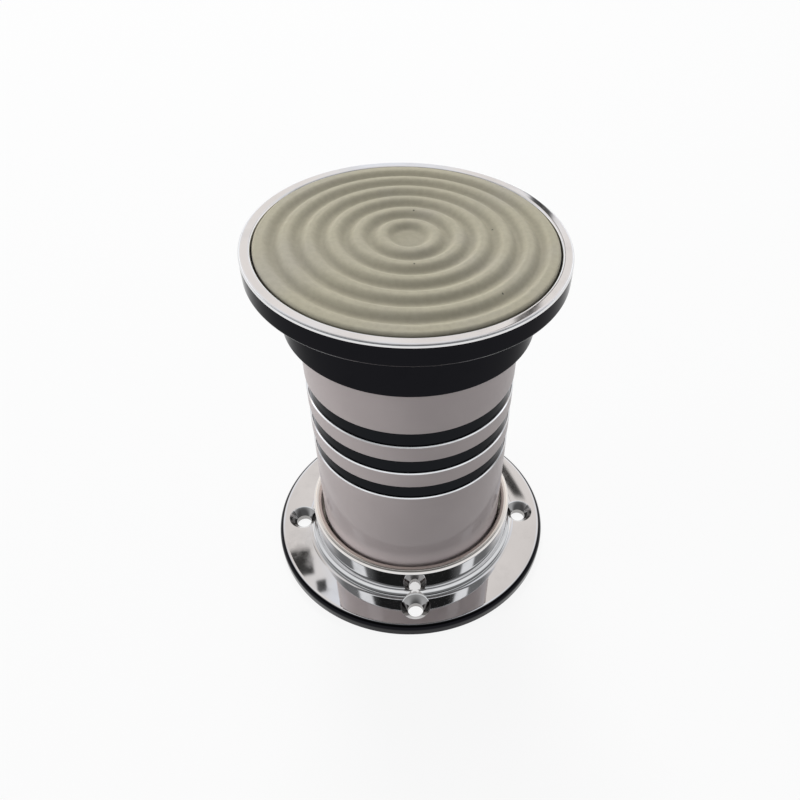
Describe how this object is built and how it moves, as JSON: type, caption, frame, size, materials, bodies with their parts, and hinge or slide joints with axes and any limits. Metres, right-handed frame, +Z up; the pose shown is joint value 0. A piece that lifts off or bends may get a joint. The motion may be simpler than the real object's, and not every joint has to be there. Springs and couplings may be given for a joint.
{
  "type": "deck bollard post",
  "caption": "Deck bollard: chromed base flange with collar, cream sleeved post with recessed dark bands, overhanging head with a bright ring and a lift-out ribbed rubber pad.",
  "frame": {"origin": "centre of the flange's underside, on the deck", "axes": "+Z up along the post's axis; the deck holes lie on X and Y"},
  "size_m": [0.155, 0.155, 0.1901],
  "materials": {
    "chrome": "mirror-polished chrome plate",
    "dark_chrome": "gloss black plate",
    "cream_enamel": "gloss cream-grey enamel",
    "pad_rubber": "matte olive-beige moulded rubber",
    "seal_rubber": "matte black",
    "plain_steel": "plain"
  },
  "bodies": {
    "bollard": {"base_flange": "chrome", "deck_seal": "seal_rubber", "core_tube": "plain_steel", "seat_gasket": "seal_rubber", "lower_sleeve": "cream_enamel", "lower_band": "dark_chrome", "lower_middle_sleeve": "cream_enamel", "middle_band": "dark_chrome", "upper_middle_sleeve": "cream_enamel", "upper_band": "dark_chrome", "upper_sleeve": "cream_enamel", "stack_gasket": "seal_rubber", "collar_seal": "seal_rubber", "neck_seal": "seal_rubber", "head_body": "dark_chrome", "rim_ring": "chrome", "tie_bolt": "plain_steel", "split_washer": "plain_steel", "head_washer": "plain_steel", "base_washer": "plain_steel", "base_nut": "plain_steel"},
    "pad": {"top_pad": "pad_rubber"}
  },
  "joints": [
    {"name": "pad_lift", "type": "slide", "parent": "bollard", "child": "pad", "axis": [0, 0, 1], "range_m": [0, 0.04]}
  ]
}
